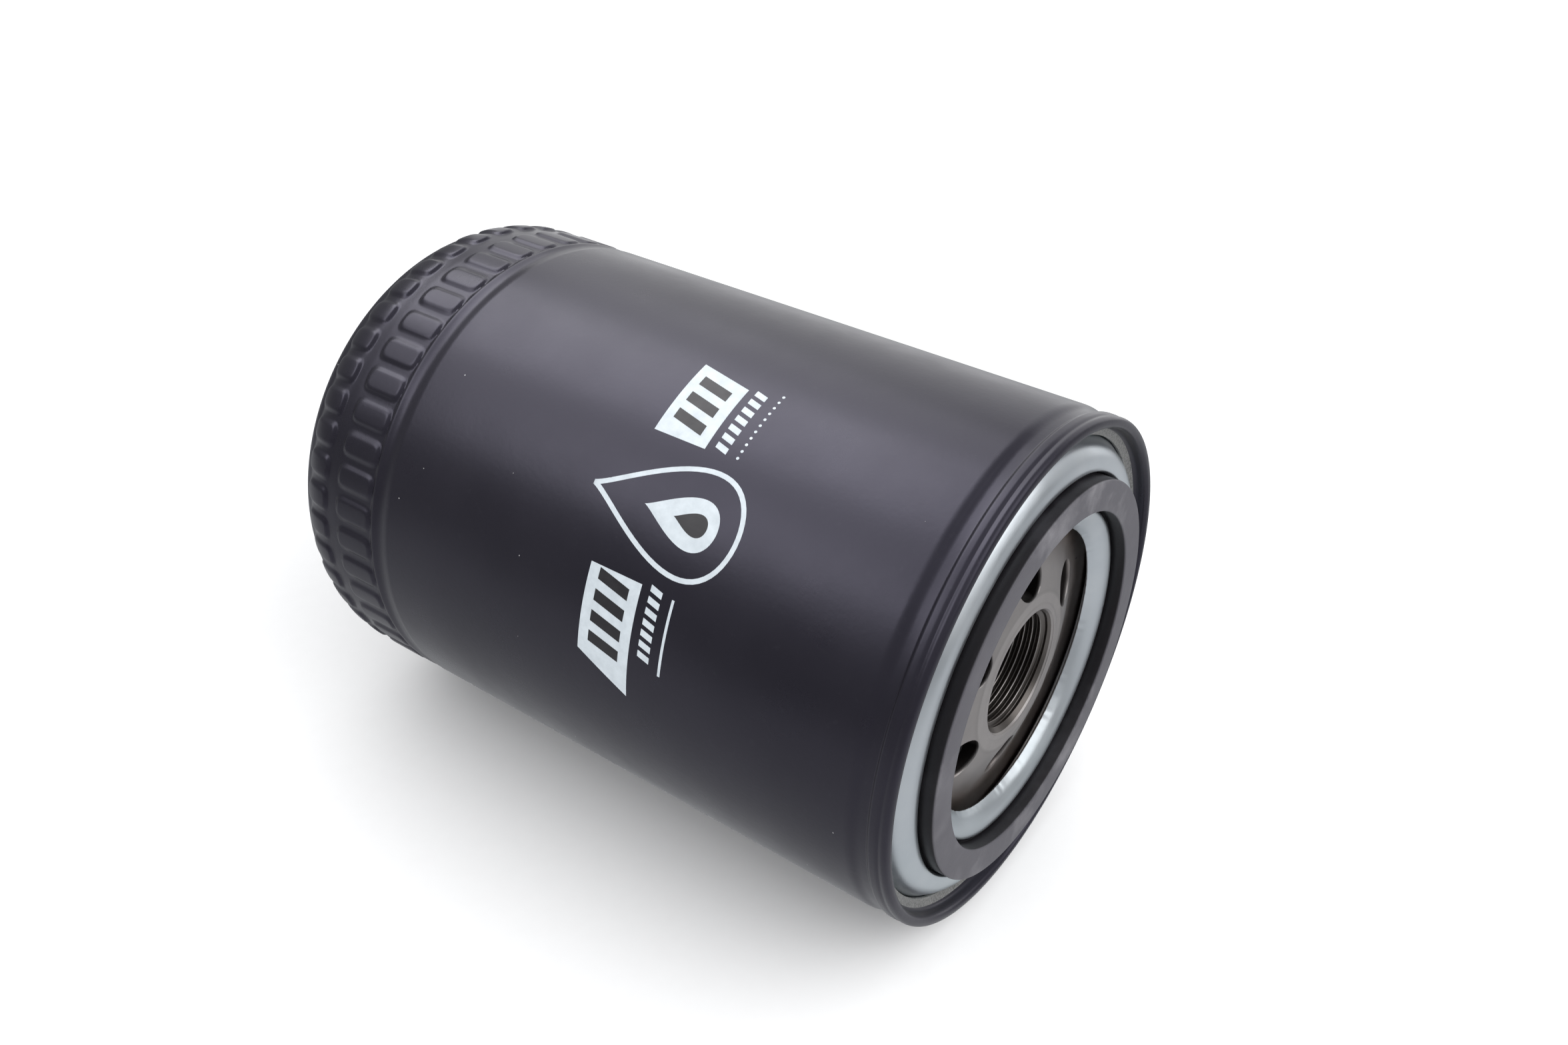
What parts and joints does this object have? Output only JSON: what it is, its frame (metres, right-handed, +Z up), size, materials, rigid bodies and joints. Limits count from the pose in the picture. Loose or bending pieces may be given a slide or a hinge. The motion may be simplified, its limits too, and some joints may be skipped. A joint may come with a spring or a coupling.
{
  "type": "spin-on oil filter",
  "caption": "Spin-on engine oil filter: black can with grip pads, zinc seaming lid, rubber gasket, threaded plate with inlets, pleated element and sprung valves.",
  "frame": {"origin": "on the floor under the middle of the can, which lies on its side", "axes": "+X along the filter's axis towards the threaded open end, +Z up"},
  "size_m": [0.142, 0.0932, 0.0932],
  "materials": {
    "black_paint": "satin",
    "zinc_plate": "satin",
    "plate_steel": "dull",
    "sheet_steel": "satin",
    "spring_steel": "satin",
    "black_rubber": "matte",
    "filter_paper": "matte",
    "plastisol": "matte"
  },
  "bodies": {
    "housing": {"can": "black_paint", "seaming_lid": "zinc_plate", "seam_sealant": "plastisol", "sealing_gasket": "black_rubber", "thread_plate": "plate_steel", "hold_down_spring": "spring_steel"},
    "element": {"front_end_cap": "sheet_steel", "front_potting": "plastisol", "pleated_media": "filter_paper", "pleat_seam_clip": "sheet_steel", "centre_tube": "sheet_steel", "rear_potting": "plastisol", "rear_end_cap": "sheet_steel", "bypass_seat": "sheet_steel", "bypass_cage": "sheet_steel", "bypass_spring": "spring_steel", "spring_seat": "sheet_steel"},
    "bypass_valve": {"bypass_poppet": "sheet_steel", "bypass_seal": "black_rubber"},
    "drainback_lip": {"anti_drainback_valve": "black_rubber"}
  },
  "joints": [
    {"name": "element_float", "type": "slide", "parent": "housing", "child": "element", "axis": [-1, 0, 0], "range_m": [0, 0.0015], "stiffness_N_per_m": 18000, "deforming": ["hold_down_spring"]},
    {"name": "bypass_lift", "type": "slide", "parent": "element", "child": "bypass_valve", "axis": [1, 0, 0], "range_m": [0, 0.0035], "stiffness_N_per_m": 2500, "deforming": ["bypass_spring"]},
    {"name": "drainback_lift", "type": "slide", "parent": "housing", "child": "drainback_lip", "axis": [-1, 0, 0], "range_m": [0, 0.0018], "stiffness_N_per_m": 400, "deforming": ["anti_drainback_valve"]}
  ]
}
